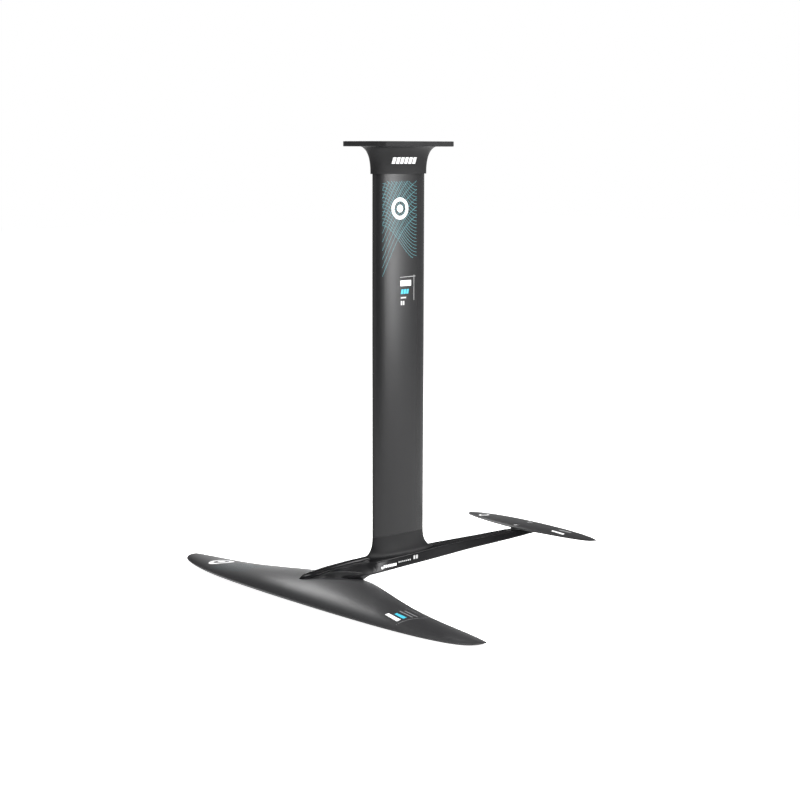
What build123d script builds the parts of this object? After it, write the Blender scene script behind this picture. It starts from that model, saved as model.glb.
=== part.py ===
from build123d import *
import math
import os

# Hydrofoil for a wing or surf board: top plate, mast, fuselage, front wing and stabiliser.
# Origin: centre of the top plate's board face. +X forward (towards the nose), +Y to port, +Z up.
# Millimetres.

# ---- driving dimensions: top plate and collar ----
PLATE_LENGTH = 196.0
PLATE_WIDTH = 124.0
PLATE_THICK = 10.2
PLATE_CORNER_R = 16.0
PLATE_EDGE_R = 1.6
SLOT_SPACING_X = 130.0
SLOT_SPACING_Y = 90.0
SLOT_LENGTH = 30.0
SLOT_RADIUS = 4.25
COLLAR_DEPTH = 63.0        # board face down to the collar's lower rim
COLLAR_WALL = 3.8
FLARE_REACH = 27.0         # how far the collar spreads under the plate
FLARE_POWER = 2.5
FLARE_STOP = 0.985         # flares stop just short of level

# ---- driving dimensions: mast and foot ----
MAST_LENGTH = 820.0        # board face down to the fuselage's top
MAST_CHORD = 133.5
MAST_THICK = 17.0
MAST_NOSE_POWER = 2.6
MAST_WALL = 3.0
MAST_BOSS_HALF = 7.0       # half the length of the solid web around each screw channel
FOOT_HEIGHT = 38.0
FOOT_REACH_FRONT = 24.0
FOOT_REACH_REAR = 33.0
FOOT_REACH_SIDE = 15.0
FOOT_FLARE_POWER = 2.2
FOOT_SKIRT = 8.0           # the rim runs on down to the sloping deck
FOOT_LUG_LENGTH = 28.0
TENON_LENGTH = 120.0
TENON_WIDTH = 17.0
TENON_DEPTH = 12.0
SEAL_THICK = 0.8

# ---- driving dimensions: fasteners ----
MAST_SCREW_INNER_X = 16.0
MAST_SCREW_OUTER_X = 46.0
SCREW_R = 3.95             # M8
SCREW_HEAD_R = 7.5
SCREW_HEAD_DEPTH = 3.6
SCREW_SOCKET_R = 2.9
SCREW_SOCKET_DEPTH = 3.0
PLATE_SCREW_LENGTH = 30.0
MAST_SCREW_LENGTH = 74.0
WING_SCREW_LENGTH = 26.0
INSERT_R = 5.0
INSERT_LENGTH = 16.0
WING_INSERT_LENGTH = 10.0
WING_SCREW_FIRST_X = 138.0
WING_SCREW_PITCH = 32.0
CUP_R = 9.0
CUP_DEPTH = 5.6
SMALL_SCREW_R = 2.95       # M6
SMALL_HEAD_R = 5.6
SMALL_HEAD_DEPTH = 2.7
SMALL_SOCKET_R = 2.2
SMALL_SOCKET_DEPTH = 1.9
SMALL_SCREW_LENGTH = 13.5
SMALL_INSERT_R = 4.2
SMALL_INSERT_LENGTH = 6.0
SMALL_CUP_R = 6.5
SMALL_CUP_DEPTH = 3.1
STAB_SCREW_REAR_X = -376.0
STAB_SCREW_SPACING = 41.0

# ---- driving dimensions: fuselage ----
FUSELAGE_NOSE_X = 250.0
FUSELAGE_TAIL_X = -398.0
FUSELAGE_EDGE_R = 4.0
TONGUE_FLOOR = 28.5        # tongue's underside below the fuselage's top
STAB_PAD_DEPTH = 1.2
STAB_PAD_FRONT_X = -314.0
SHIM_LENGTH = 66.0
SHIM_WIDTH = 22.0

# ---- driving dimensions: front wing ----
WING_HALF_SPAN = 453.5
WING_ROOT_TE_X = 194.1
WING_ROOT_TE_Z = 35.7      # below the fuselage's top
WING_CHORD = 121.5
WING_ROOT_EXTRA = 83.1     # extra chord that swells in towards the root
WING_ROOT_SPREAD = 0.446
WING_THICKNESS = 0.128
WING_CAMBER = 0.026
WING_SKIN = 1.6
WING_TE_THICK = 0.8
CORE_EDGE = 0.35           # least half thickness of foam at a core's edges
SADDLE_FRONT_X = 262.0
SADDLE_REAR_X = 106.0
SADDLE_HALF_WIDTH = 40.0
SADDLE_CORNER_R = 9.0
SADDLE_CUT_LOW = 70.0      # reach of the saddle's hole through the skins, below the fuselage's top
SADDLE_CUT_HIGH = 6.0

# ---- driving dimensions: stabiliser ----
STAB_HALF_SPAN = 191.2
STAB_ROOT_TE_X = -395.8
STAB_ROOT_TE_Z = -5.6      # above the fuselage's top
STAB_CHORD = 74.3
STAB_THICKNESS = 0.09
STAB_SKIN = 1.1
STAB_TE_THICK = 0.6

# ---- clearances ----
SOCKET_GAP = 0.12          # mast in collar, tenon in pocket
BOND_GAP = 0.1             # glue line between skins, cores and blocks
SCREW_GAP = 0.35           # screw shank in a clearance hole
THREAD_GAP = 0.05          # screw in insert, insert in its hole
HEAD_RECESS = 0.4          # countersunk heads lie this far below the surface

FUSELAGE_TOP = -MAST_LENGTH
MAST_TOP = -PLATE_THICK - SEAL_THICK
FOOT_TOP = -MAST_LENGTH + FOOT_HEIGHT
MAST_BOTTOM = FOOT_TOP + SEAL_THICK
MAST_SCREW_X = [-MAST_SCREW_OUTER_X, -MAST_SCREW_INNER_X, MAST_SCREW_INNER_X, MAST_SCREW_OUTER_X]
WING_SCREW_X = [WING_SCREW_FIRST_X + i * WING_SCREW_PITCH for i in range(3)]
STAB_SCREW_X = [STAB_SCREW_REAR_X, STAB_SCREW_REAR_X + STAB_SCREW_SPACING]
UP = (Align.CENTER, Align.CENTER, Align.MIN)
DOWN = (Align.CENTER, Align.CENTER, Align.MAX)


# ---- small helpers ----
def one_solid(shape):
    """The largest solid of a boolean's result."""
    return sorted(shape.solids(), key=lambda s: s.volume)[-1]


def rod(x, z_low, z_high, radius):
    return Pos(x, 0, z_low) * Cylinder(radius, z_high - z_low, align=UP)


def block(x_low, x_high, y_low, y_high, z_low, z_high):
    centre = Pos((x_low + x_high) / 2, (y_low + y_high) / 2, (z_low + z_high) / 2)
    return centre * Box(x_high - x_low, y_high - y_low, z_high - z_low)


def along(x, table):
    """Straight-line value at x of a table of (x, value) pairs in rising x."""
    if x <= table[0][0]:
        return table[0][1]
    for (xa, va), (xb, vb) in zip(table, table[1:]):
        if x <= xb:
            share = (x - xa) / (xb - xa)
            return va + (vb - va) * share
    return table[-1][1]


def countersunk_screw(length, shank_r, head_r, head_depth, socket_r, socket_depth):
    """Screw with its head's flat face at z = 0 and its shank pointing down."""
    body = Cylinder(shank_r, length, align=DOWN)
    body += Pos(0, 0, -head_depth) * Cone(shank_r, head_r, head_depth, align=UP)
    socket = extrude(RegularPolygon(socket_r, 6), -socket_depth)
    return one_solid(body - socket)


def countersink(x, z_face, direction, shank_r, head_r, head_depth):
    """Cutter for a countersunk head at z_face; direction +1 if the head faces up."""
    reach = head_depth + HEAD_RECESS
    wide = head_r + reach - head_depth + THREAD_GAP
    low = shank_r + SCREW_GAP
    if direction > 0:
        return Pos(x, 0, z_face - reach) * Cone(low, wide, reach, align=UP)
    return Pos(x, 0, z_face + reach) * Rot(180, 0, 0) * Cone(low, wide, reach, align=UP)


def insert_ring(outer_r, inner_r, length):
    return Cylinder(outer_r, length, align=DOWN) - Cylinder(inner_r, length, align=DOWN)


# ---- mast profile ----
OUTLINE_STEPS = [0, 4, 9, 16, 26, 40, 60]


def lens_points(half_chord, half_thick, offset, shift=0.0):
    """Closed lens outline, offset outwards along its normal."""
    quarter = []
    for degrees in OUTLINE_STEPS + [90]:
        t = math.radians(degrees)
        cx = math.cos(t) ** (2 / MAST_NOSE_POWER) if degrees < 90 else 0.0
        sy = math.sin(t)
        nx = MAST_NOSE_POWER * cx ** (MAST_NOSE_POWER - 1) / half_chord
        ny = 2 * sy / half_thick
        size = math.hypot(nx, ny)
        quarter.append((half_chord * cx + offset * nx / size, half_thick * sy + offset * ny / size))
    upper = quarter + [(-x, y) for x, y in reversed(quarter[:-1])]
    lower = [(x, -y) for x, y in reversed(upper[1:-1])]
    return [(x + shift, y) for x, y in upper + lower]


def lens_wire(z, half_chord, half_thick, offset=0.0, shift=0.0):
    points = lens_points(half_chord, half_thick, offset, shift)
    return Wire([Edge.make_spline([Vector(x, y, z) for x, y in points], periodic=True)])


def lens_prism(z_low, z_high, half_chord, half_thick, offset=0.0):
    face = Face(lens_wire(z_low, half_chord, half_thick, offset))
    return Solid.extrude(face, Vector(0, 0, z_high - z_low))


def flare(height, full_height, reach, power):
    """How far a flare stands out at a height above its start."""
    share = min(1.0, height / full_height)
    return reach * (1 - (1 - share ** power) ** (1 / power))


# ---- top plate with its flared collar ----
def make_top_plate():
    plate = Pos(0, 0, -PLATE_THICK) * extrude(
        RectangleRounded(PLATE_LENGTH, PLATE_WIDTH, PLATE_CORNER_R), PLATE_THICK)
    rims = plate.edges().filter_by(Plane.XY)
    plate = fillet(rims, PLATE_EDGE_R)
    half_chord = MAST_CHORD / 2
    half_thick = MAST_THICK / 2
    flare_height = COLLAR_DEPTH - PLATE_THICK + 1.0
    sections = []
    for share in [0, 0.16, 0.32, 0.47, 0.6, 0.71, 0.8, 0.87, 0.92, 0.96, FLARE_STOP]:
        height = share * flare_height
        spread = COLLAR_WALL + flare(height, flare_height, FLARE_REACH, FLARE_POWER)
        sections.append(lens_wire(-COLLAR_DEPTH + height, half_chord, half_thick, spread))
    top_z = -COLLAR_DEPTH + FLARE_STOP * flare_height
    collar = Solid.make_loft(sections)
    body = plate + collar
    body -= lens_prism(-COLLAR_DEPTH - 1, -PLATE_THICK, half_chord, half_thick, SOCKET_GAP)
    for x in MAST_SCREW_X:
        body -= rod(x, top_z - PLATE_THICK, 1, SCREW_R + SCREW_GAP)
        body -= countersink(x, 0, 1, SCREW_R, SCREW_HEAD_R, SCREW_HEAD_DEPTH)
    slot = Pos(0, 0, -PLATE_THICK - 1) * extrude(SlotOverall(SLOT_LENGTH, 2 * SLOT_RADIUS), PLATE_THICK + 2)
    for sx in (-1, 1):
        for sy in (-1, 1):
            body -= Pos(sx * SLOT_SPACING_X / 2, sy * SLOT_SPACING_Y / 2, 0) * slot
    return one_solid(body)


# ---- mast extrusion: lens wall, four webs with round screw channels, three chambers ----
def chamber_spans():
    edges = [x + side * MAST_BOSS_HALF for x in MAST_SCREW_X for side in (-1, 1)][1:-1]
    return list(zip(edges[0::2], edges[1::2]))


def chambers(z_low, z_high, gap):
    """The hollow chambers' volume, shrunk by a gap on all sides."""
    inner = lens_prism(z_low, z_high, MAST_CHORD / 2, MAST_THICK / 2 - MAST_WALL - gap)
    cells = []
    for x_low, x_high in chamber_spans():
        cell = block(x_low + gap, x_high - gap, -MAST_THICK, MAST_THICK, z_low, z_high)
        cells.append(one_solid(inner & cell))
    return cells


def make_mast():
    body = lens_prism(MAST_BOTTOM, MAST_TOP, MAST_CHORD / 2, MAST_THICK / 2)
    for cell in chambers(MAST_BOTTOM - 1, MAST_TOP + 1, 0):
        body -= cell
    for x in MAST_SCREW_X:
        body -= rod(x, MAST_BOTTOM - 1, MAST_TOP + 1, INSERT_R + THREAD_GAP)
    return one_solid(body)


def make_seal(z_low, lug_gap):
    body = lens_prism(z_low, z_low + SEAL_THICK, MAST_CHORD / 2, MAST_THICK / 2, -0.4)
    if lug_gap:
        for cell in chambers(z_low - 1, z_low + SEAL_THICK + 1, 0):
            body -= cell
    for x in MAST_SCREW_X:
        body -= rod(x, z_low - 1, z_low + SEAL_THICK + 1, SCREW_R + SCREW_GAP)
    return one_solid(body)


# ---- mast foot: flared casting with lugs up into the mast and a tenon down into the fuselage ----
def make_mast_foot():
    sections = []
    for share in [0, 0.2, 0.4, 0.57, 0.71, 0.82, 0.9, 0.96, 1.0]:
        height = share * FOOT_HEIGHT
        reaches = [flare(height * FLARE_STOP, FOOT_HEIGHT, reach, FOOT_FLARE_POWER)
                   for reach in (FOOT_REACH_FRONT, FOOT_REACH_REAR, FOOT_REACH_SIDE)]
        front, rear = [MAST_CHORD / 2 + reach for reach in reaches[:2]]
        side = MAST_THICK / 2 + reaches[2]
        sections.append(lens_wire(FOOT_TOP - height, (front + rear) / 2, side, 0, (front - rear) / 2))
    body = Solid.make_loft(sections)
    base = Face(lens_wire(FUSELAGE_TOP + BOND_GAP, (front + rear) / 2, side, 0, (front - rear) / 2))
    body += Solid.extrude(base, Vector(0, 0, -FOOT_SKIRT))
    for lug in chambers(FOOT_TOP - 1, FOOT_TOP + FOOT_LUG_LENGTH, SOCKET_GAP):
        body += lug
    body -= make_fuselage_blank(0.02)
    tenon = lens_prism(FUSELAGE_TOP - TENON_DEPTH, FUSELAGE_TOP + 1, TENON_LENGTH / 2, TENON_WIDTH / 2)
    body = one_solid(one_solid(body) + tenon)
    for x in MAST_SCREW_X:
        body -= rod(x, FUSELAGE_TOP - TENON_DEPTH - 1, FOOT_TOP + FOOT_LUG_LENGTH + 1, SCREW_R + SCREW_GAP)
    return one_solid(body)


# ---- fuselage ----
# Half-width at the lower edges, and underside depth below the fuselage's top, along x.
HALF_WIDTH = [(-398, 8), (-390, 13), (-375, 16.5), (-300, 17.5), (-190, 18.5), (-150, 19.5), (-104, 21.5),
              (-60, 24.5), (-17, 27.5), (25, 30.5), (66, 32.5), (103, 32.8), (127, 30.5), (150, 27), (170, 23.5),
              (190, 20), (206, 16.5), (222, 13), (235, 10), (243, 7.5), (FUSELAGE_NOSE_X, 3.5)]
UNDERSIDE = [(-398, 10), (-390, 11), (-375, 12), (-348, 13.8), (-279, 16.5), (-220, 17.8), (-165, 20),
             (-121, 22.2), (-60, 24), (28, 26), (97, TONGUE_FLOOR)]
# Upper edges of the leaning sides: half-width, and drop below the fuselage's top.
SHOULDER_HALF = [(-398, 6), (-390, 10), (-375, 13), (-300, 13.5), (-209, 14.5), (-167, 16), (-132, 17.5), (-98, 19),
                 (-75, 20), (-37, 22.5), (3, 25), (56, 27), (79, 26.5), (97, 23), (115, 20), (134, 18), (152, 17),
                 (170, 16.5), (183, 15.5), (200, 13), (220, 10.5), (240, 7), (FUSELAGE_NOSE_X, 2.6)]
SHOULDER_DROP = [(-398, 2.5), (-390, 1.2), (-375, 0.3), (-300, 0), (-132, 0.1), (-98, 0.5), (-75, 1.5), (-37, 3),
                 (3, 4), (56, 5.4), (97, 5.4), (115, 5), (134, 5.5), (152, 6), (170, 7.3), (183, 9), (200, 11.5),
                 (220, 14), (240, 16), (FUSELAGE_NOSE_X, 18)]
# Rounded spine along the top from the mast's foot to the nose: drop of its crest below the fuselage's top.
SPINE_DROP = [(66, 0), (74, 0), (84, -2.2), (109, -1.6), (130, -0.9), (150, 0.2), (170, 1.3), (190, 2.8), (200, 3.9),
              (212, 5.3), (225, 6.6), (236, 8.4), (243, 11), (FUSELAGE_NOSE_X, 16.2)]
SPINE_HALF_WIDTH = 9.5
SPINE_START_X = 60.0
SPINE_FULL_X = 90.0
SHOULDER_R = 2.0


def fillet_points(corner, back, ahead, reach):
    """Start, middle and end of a round that leaves a corner by reach along both directions."""
    back = back.normalized()
    ahead = ahead.normalized()
    half_angle = back.get_angle(ahead) / 2
    half_angle = math.radians(half_angle)
    middle = reach * (1 - math.sin(half_angle)) / math.cos(half_angle)
    return corner + back * reach, corner + (back + ahead).normalized() * middle, corner + ahead * reach


def fuselage_wire(x, grow):
    """Closed section across the fuselage: flat deck with a spine, leaning sides, rounded edges."""
    half = along(x, HALF_WIDTH) + grow
    shoulder = min(along(x, SHOULDER_HALF) + grow, half - 0.6)
    deck_z = FUSELAGE_TOP + grow
    low = FUSELAGE_TOP - along(x, UNDERSIDE + [(FUSELAGE_NOSE_X, TONGUE_FLOOR)]) - grow
    drop = along(x, SHOULDER_DROP)
    blend = min(1.0, max(0.0, (x - SPINE_START_X) / (SPINE_FULL_X - SPINE_START_X)))
    rise = blend * drop - along(x, SPINE_DROP) * min(1.0, max(0.0, x - 66))
    spine = min(SPINE_HALF_WIDTH, shoulder - 1.0)
    ridge = []
    for share in [-1, -0.93, -0.8, -0.6, -0.35, 0, 0.35, 0.6, 0.8, 0.93, 1]:
        y = share * spine
        bed = blend * drop + (1 - blend) * drop * (y / shoulder) ** 2
        ridge.append(Vector(x, y, deck_z - bed + max(0.0, rise) * (1 - share * share) ** 0.75))
    edges = [Edge.make_spline(ridge)]
    ends = {}
    for side in (1, -1):
        inner = ridge[-1] if side > 0 else ridge[0]
        top = Vector(x, side * shoulder, deck_z - drop)
        foot = Vector(x, side * half, low)
        round_top = min(SHOULDER_R, (shoulder - spine) * 0.6)
        round_low = min(FUSELAGE_EDGE_R, half * 0.45, (deck_z - drop - low) * 0.3)
        a1, a2, a3 = fillet_points(top, inner - top, foot - top, round_top)
        b1, b2, b3 = fillet_points(foot, top - foot, Vector(0, -side, 0), round_low)
        edges += [Edge.make_line(inner, a1), Edge.make_three_point_arc(a1, a2, a3), Edge.make_line(a3, b1),
                  Edge.make_three_point_arc(b1, b2, b3)]
        ends[side] = b3
    edges.append(Edge.make_line(ends[1], ends[-1]))
    return Wire(edges)


def make_fuselage_blank(grow=0.0):
    stations = [-398, -394, -388, -378, -365, -340, -300, -250, -190, -140, -104, -60, -17, 25, 56, 66, 74, 84, 97,
                112, 130, 150, 170, 190, 206, 222, 235, 243, FUSELAGE_NOSE_X]
    stations[0] -= grow
    stations[-1] += grow
    return Solid.make_loft([fuselage_wire(x, grow) for x in stations])


def underside_z(x):
    return FUSELAGE_TOP - along(x, UNDERSIDE + [(FUSELAGE_NOSE_X, TONGUE_FLOOR)])


def side_half(x, z):
    """Half-width of the fuselage's leaning side at a height."""
    top = FUSELAGE_TOP - along(x, SHOULDER_DROP)
    share = min(1.0, max(0.0, (top - z) / (top - underside_z(x))))
    upper = along(x, SHOULDER_HALF)
    return upper + (along(x, HALF_WIDTH) - upper) * share


def make_fuselage():
    body = make_fuselage_blank()
    body -= lens_prism(FUSELAGE_TOP - TENON_DEPTH - 0.5, FUSELAGE_TOP + 5, TENON_LENGTH / 2, TENON_WIDTH / 2,
                       SOCKET_GAP)
    for x in MAST_SCREW_X:
        body -= rod(x, underside_z(x) - 2, FUSELAGE_TOP - TENON_DEPTH + 1, SCREW_R + SCREW_GAP)
        body -= countersink(x, underside_z(x), -1, SCREW_R, SCREW_HEAD_R, SCREW_HEAD_DEPTH)
        body -= rod(x, underside_z(x) - 2, underside_z(x) + 0.02, SCREW_HEAD_R + HEAD_RECESS + THREAD_GAP)
    tongue_z = FUSELAGE_TOP - TONGUE_FLOOR
    for x in WING_SCREW_X:
        body -= rod(x, tongue_z - 1, tongue_z + WING_INSERT_LENGTH, INSERT_R + THREAD_GAP)
        body -= rod(x, tongue_z - 1, wing_screw_tip(x) + 1, SCREW_R + SCREW_GAP)
    pad_z = FUSELAGE_TOP - STAB_PAD_DEPTH
    body -= block(FUSELAGE_TAIL_X - 5, STAB_PAD_FRONT_X, -40, 40, pad_z, FUSELAGE_TOP + 5)
    for x in STAB_SCREW_X:
        body -= rod(x, pad_z - SMALL_INSERT_LENGTH, pad_z + 1, SMALL_INSERT_R + THREAD_GAP)
        body -= rod(x, stab_screw_tip() - 0.6, pad_z + 1, SMALL_SCREW_R + SCREW_GAP)
    return one_solid(body)


# ---- lifting surfaces ----
SECTION_STEPS = [0, 0.004, 0.015, 0.04, 0.08, 0.14, 0.22, 0.32, 0.44, 0.56, 0.68, 0.8, 0.9, 1.0]


def half_thickness(share, chord, ratio, te_thick):
    """Half the section's thickness at a share of the chord behind the leading edge."""
    s = share
    shape = 0.2969 * math.sqrt(s) - 0.126 * s - 0.3516 * s ** 2 + 0.2843 * s ** 3 - 0.1036 * s ** 4
    return 5 * ratio * chord * shape + te_thick / 2 * s


def camber_line(share, chord, camber):
    peak = 0.4
    if share < peak:
        return camber * chord / peak ** 2 * (2 * peak * share - share ** 2)
    return camber * chord / (1 - peak) ** 2 * (1 - 2 * peak + 2 * peak * share - share ** 2)


class Surface:
    """A wing described by its planform and droop as functions of u = |y| / half span."""

    def __init__(self, half_span, thickness, camber, skin, te_thick, plan):
        self.half_span = half_span
        self.thickness = thickness
        self.camber = camber
        self.skin = skin
        self.te_thick = te_thick
        self.plan = plan

    def point(self, y, share, side, inset=0.0, drop=0.0):
        te_x, chord, te_z, pitch = self.plan(abs(y) / self.half_span)
        thick = half_thickness(share, chord, self.thickness, min(self.te_thick, chord * 0.02))
        z = camber_line(share, chord, self.camber) + side * (thick - inset)
        if side == 0:
            z = 0.0
        back = chord * (1 - share)
        return Vector(te_x + back, y, te_z + z + back * math.tan(pitch) - drop)

    def half_wire(self, y, side, drop):
        """Section of the upper (+1) or lower (-1) half, closed along the chord line."""
        curve = Edge.make_spline([self.point(y, s, side, 0, drop) for s in SECTION_STEPS])
        tail = Edge.make_line(self.point(y, 1, side, 0, drop), self.point(y, 1, 0, 0, drop))
        chord = Edge.make_line(self.point(y, 1, 0, 0, drop), self.point(y, 0, 0, 0, drop))
        return Wire([curve, tail, chord])

    def full_wire(self, y, drop):
        upper = Edge.make_spline([self.point(y, s, 1) for s in SECTION_STEPS])
        tail = Edge.make_line(self.point(y, 1, 1), self.point(y, 1, -1, 0, drop))
        lower = Edge.make_spline([self.point(y, s, -1, 0, drop * min(1, s * 8)) for s in reversed(SECTION_STEPS)])
        return Wire([upper, tail, lower])

    def core_wire(self, y, inset):
        shares = [0.07, 0.11, 0.17, 0.26, 0.38, 0.5, 0.61, 0.7]
        upper = Edge.make_spline([self.point(y, s, 1, inset) for s in shares])
        lower = Edge.make_spline([self.point(y, s, -1, inset) for s in reversed(shares)])
        tail = Edge.make_line(self.point(y, shares[-1], 1, inset), self.point(y, shares[-1], -1, inset))
        nose = Edge.make_line(self.point(y, shares[0], -1, inset), self.point(y, shares[0], 1, inset))
        return Wire([upper, tail, lower, nose])

    def stations(self, shares):
        half = [s * self.half_span for s in shares]
        return [-y for y in reversed(half[1:])] + half

    def half_solid(self, side, drop):
        shares = [0, 0.12, 0.25, 0.4, 0.55, 0.7, 0.82, 0.9, 0.95, 0.98, 0.993, 0.999]
        return Solid.make_loft([self.half_wire(y, side, drop) for y in self.stations(shares)])

    def root_solid(self, drop):
        """The middle of the wing as one body, for the pieces that are shaped by its skins."""
        return Solid.make_loft([self.full_wire(y, drop) for y in self.stations([0, 0.12, 0.25, 0.4])])

    def core_end(self):
        """Share of the half span at which the foam core still has a sound edge."""
        u = 0.9
        while u > 0.3:
            chord = self.plan(u)[1]
            edge = min(half_thickness(s, chord, self.thickness, self.te_thick) for s in (0.07, 0.7))
            if edge > self.skin + CORE_EDGE:
                return u
            u -= 0.01
        return u

    def core_solid(self, extra):
        end = self.core_end()
        shares = [end * s for s in (0, 0.14, 0.28, 0.45, 0.62, 0.79, 0.92, 1)]
        return Solid.make_loft([self.core_wire(y, self.skin + extra) for y in self.stations(shares)])


def wing_plan(u):
    swell = WING_ROOT_EXTRA * math.exp(-(u / WING_ROOT_SPREAD) ** 2)
    te_x = WING_ROOT_TE_X - 75.1 * u ** 2 + 45.8 * u ** 4 + 16.6 * u ** 8 - swell
    chord = WING_CHORD * (1 - u ** 1.884) ** 0.405 + swell
    te_z = FUSELAGE_TOP - WING_ROOT_TE_Z - 50.8 * u ** 2 + 29.2 * u ** 4
    return te_x, chord, te_z, 0.0026 - 0.0193 * u ** 2


def stab_plan(u):
    te_x = STAB_ROOT_TE_X - 3.9 * u ** 2 + 10.4 * u ** 4 + 7.5 * u ** 8
    chord = STAB_CHORD * (1 - u ** 1.624) ** 0.471
    te_z = FUSELAGE_TOP - STAB_ROOT_TE_Z - 7.4 * u ** 2 + 1.8 * u ** 4
    return te_x, chord, te_z, -0.013


WING = Surface(WING_HALF_SPAN, WING_THICKNESS, WING_CAMBER, WING_SKIN, WING_TE_THICK, wing_plan)
STAB = Surface(STAB_HALF_SPAN, STAB_THICKNESS, 0.0, STAB_SKIN, STAB_TE_THICK, stab_plan)


def surface_z(surface, x, side):
    """Height of a surface's skin on the centreline at x."""
    te_x, chord, _, _ = surface.plan(0.0)
    share = 1 - (x - te_x) / chord
    return surface.point(0.0, share, side).Z


def wing_head_z(x):
    return surface_z(WING, x, -1) - BOND_GAP + HEAD_RECESS + 0.4


def wing_screw_tip(x):
    return wing_head_z(x) + WING_SCREW_LENGTH


def stab_head_z():
    return min(surface_z(STAB, x, 1) for x in STAB_SCREW_X) - HEAD_RECESS


def stab_screw_tip():
    return stab_head_z() - SMALL_SCREW_LENGTH


# Saddle of the front wing: a block through the skins whose rim rises along the fuselage's sides.
RIM_DEPTH = [(106, 23.8), (121, 19.2), (145, 14.6), (169, 11.1), (185, 10), (200, 12), (214, 14.6), (228, 17.5),
             (262, 21)]
RIM_WALL = 3.6
FLANK_SPREAD = 7.5


def saddle_prism(gap):
    length = SADDLE_FRONT_X - SADDLE_REAR_X
    plan = RectangleRounded(length - 2 * gap, 2 * (SADDLE_HALF_WIDTH - gap), SADDLE_CORNER_R)
    middle_x = (SADDLE_FRONT_X + SADDLE_REAR_X) / 2
    return Pos(middle_x, 0, FUSELAGE_TOP - SADDLE_CUT_LOW) * extrude(plan, SADDLE_CUT_LOW - SADDLE_CUT_HIGH)


def fairing_wire(x):
    rim_z = FUSELAGE_TOP - along(x, RIM_DEPTH)
    base_z = FUSELAGE_TOP - WING_ROOT_TE_Z
    rim_half = side_half(x, rim_z) + RIM_WALL
    base_half = min(rim_half + FLANK_SPREAD, SADDLE_HALF_WIDTH - BOND_GAP)
    corners = [(-base_half, base_z), (-rim_half, rim_z), (rim_half, rim_z), (base_half, base_z)]
    return Wire.make_polygon([Vector(x, y, z) for y, z in corners], close=True)


def make_saddle():
    core = WING.root_solid(BOND_GAP) & saddle_prism(BOND_GAP)
    stations = [SADDLE_REAR_X + BOND_GAP, 128, 150, 169, 185, 199, 212, 228, SADDLE_FRONT_X - SADDLE_CORNER_R]
    fairing = Solid.make_loft([fairing_wire(x) for x in stations], True)
    body = one_solid(core + (fairing & saddle_prism(BOND_GAP)))
    body -= make_fuselage_blank(SOCKET_GAP)
    for x in WING_SCREW_X:
        face_z = wing_head_z(x) - HEAD_RECESS
        body -= rod(x, face_z - 20, FUSELAGE_TOP, SCREW_R + SCREW_GAP)
        body -= rod(x, face_z - 20, face_z + CUP_DEPTH + BOND_GAP, CUP_R + BOND_GAP)
    return one_solid(body)


def make_wing_screw_cup(x):
    face_z = wing_head_z(x) - HEAD_RECESS
    body = rod(x, face_z, face_z + CUP_DEPTH, CUP_R) - rod(x, face_z - 1, face_z + 20, SCREW_R + SCREW_GAP)
    return one_solid(body - countersink(x, face_z, -1, SCREW_R, SCREW_HEAD_R, SCREW_HEAD_DEPTH))


def make_stab_screw_cup(x):
    face_z = stab_head_z() + HEAD_RECESS
    low = face_z - SMALL_CUP_DEPTH
    body = rod(x, low, face_z, SMALL_CUP_R) - rod(x, low - 1, face_z + 1, SMALL_SCREW_R + SCREW_GAP)
    return one_solid(body - countersink(x, face_z, 1, SMALL_SCREW_R, SMALL_HEAD_R, SMALL_HEAD_DEPTH))


def make_wing_parts():
    cavity = WING.core_solid(0)
    hole = saddle_prism(0)
    top_skin = one_solid(WING.half_solid(1, 0) - cavity - hole)
    bottom_skin = one_solid(WING.half_solid(-1, BOND_GAP) - cavity - hole)
    halves = (WING.core_solid(BOND_GAP) - saddle_prism(-BOND_GAP)).solids()
    return top_skin, bottom_skin, Compound(children=list(halves)), make_saddle()


def make_stab_parts():
    cavity = STAB.core_solid(0)
    top_skin = STAB.half_solid(1, 0) - cavity
    bottom_skin = STAB.half_solid(-1, BOND_GAP) - cavity
    core = STAB.core_solid(BOND_GAP)
    face_z = stab_head_z() + HEAD_RECESS
    for x in STAB_SCREW_X:
        for_cup = rod(x, face_z - SMALL_CUP_DEPTH - BOND_GAP, face_z + 10, SMALL_CUP_R + BOND_GAP)
        for_shank = rod(x, face_z - 20, face_z + 10, SMALL_SCREW_R + SCREW_GAP)
        top_skin = top_skin - for_cup - for_shank
        bottom_skin = bottom_skin - for_cup - for_shank
        core = core - for_cup - for_shank
    return one_solid(top_skin), one_solid(bottom_skin), one_solid(core)


def make_shim():
    pad_z = FUSELAGE_TOP - STAB_PAD_DEPTH
    middle = sum(STAB_SCREW_X) / 2
    body = Pos(middle, 0, pad_z) * extrude(RectangleRounded(SHIM_LENGTH, SHIM_WIDTH, SHIM_WIDTH / 2 - 1), 6)
    for x in STAB_SCREW_X:
        body -= rod(x, pad_z - 1, pad_z + 10, SMALL_SCREW_R + SCREW_GAP)
    pieces = (body - STAB.root_solid(3 * BOND_GAP)).solids()
    return sorted(pieces, key=lambda s: s.center().Z)[0]


# ---- build and export ----
def group(shapes):
    return Compound(children=[one_solid(s) for s in shapes])


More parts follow.
